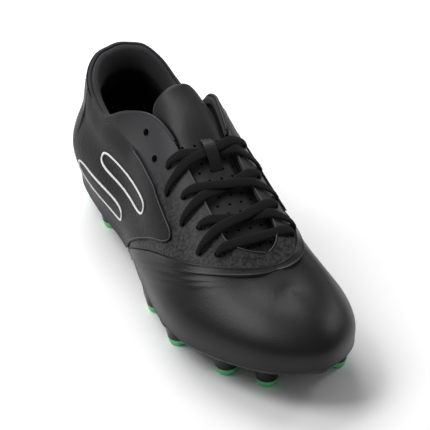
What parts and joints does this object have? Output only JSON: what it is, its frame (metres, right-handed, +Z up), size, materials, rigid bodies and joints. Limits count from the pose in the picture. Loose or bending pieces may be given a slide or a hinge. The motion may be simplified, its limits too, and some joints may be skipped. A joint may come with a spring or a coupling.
{
  "type": "soccer cleat",
  "caption": "Low-cut laced soccer boot with a padded collar, staggered eyelets, a moulded plate and conical studs with coloured tips.",
  "frame": {"origin": "middle of the bounding box on the ground, under the studs", "axes": "+Z up, toe towards -Y, heel towards +Y, inner (medial) side towards +X: a right foot"},
  "size_m": [0.0996, 0.2896, 0.1153],
  "materials": {
    "plate": "moulded TPU, satin black",
    "stud_tip": "moulded TPU, green",
    "board": "non-woven lasting board",
    "sockliner": "foam with a textile cover",
    "vamp_leather": "matt black coated synthetic leather",
    "midfoot_skin": "charcoal synthetic with a mottled print",
    "quarter_skin": "dark grey smooth synthetic",
    "stiffener": "thermoplastic sheet",
    "foam": "open cell polyurethane foam",
    "lining": "black knitted textile",
    "lace": "black flat woven polyester",
    "aglet": "clear black film",
    "motif": "silver grey welded film"
  },
  "bodies": {
    "boot": {"outsole_plate": "plate", "stud_tip_01": "stud_tip", "stud_tip_02": "stud_tip", "stud_tip_03": "stud_tip", "stud_tip_04": "stud_tip", "stud_tip_05": "stud_tip", "stud_tip_06": "stud_tip", "stud_tip_07": "stud_tip", "stud_tip_08": "stud_tip", "stud_tip_09": "stud_tip", "stud_tip_10": "stud_tip", "stud_tip_11": "stud_tip", "stud_tip_12": "stud_tip", "lasting_board": "board", "sockliner": "sockliner", "vamp": "vamp_leather", "throat_band": "vamp_leather", "midfoot_lateral": "midfoot_skin", "midfoot_medial": "midfoot_skin", "rear_quarter_lateral": "quarter_skin", "rear_quarter_medial": "quarter_skin", "side_panel_lateral": "quarter_skin", "side_panel_medial": "quarter_skin", "heel_tab": "quarter_skin", "heel_counter": "stiffener", "toe_puff": "stiffener", "collar_foam": "foam", "collar_topline": "lining", "heel_lining": "lining", "midfoot_lining_lateral": "lining", "midfoot_lining_medial": "lining", "vamp_lining": "lining", "eyelet_stay_lateral": "stiffener", "eyelet_stay_medial": "stiffener", "tongue_face_lower": "quarter_skin", "tongue_foam_lower": "foam", "tongue_lining_lower": "lining", "lace_keeper": "lining", "lace": "lace", "lace_hank_lateral": "lace", "lace_hank_medial": "lace", "aglet_lateral": "aglet", "aglet_medial": "aglet", "side_motif_lateral": "motif", "side_motif_medial": "motif"},
    "tongue_top": {"tongue_face_upper": "quarter_skin", "tongue_foam_upper": "foam", "tongue_lining_upper": "lining"}
  },
  "joints": [
    {"name": "tongue_fold", "type": "hinge", "parent": "boot", "child": "tongue_top", "pos_m": [0.00458, 0.01157, 0.09761], "axis": [1, 0, 0], "range_deg": [-10, 60]}
  ]
}
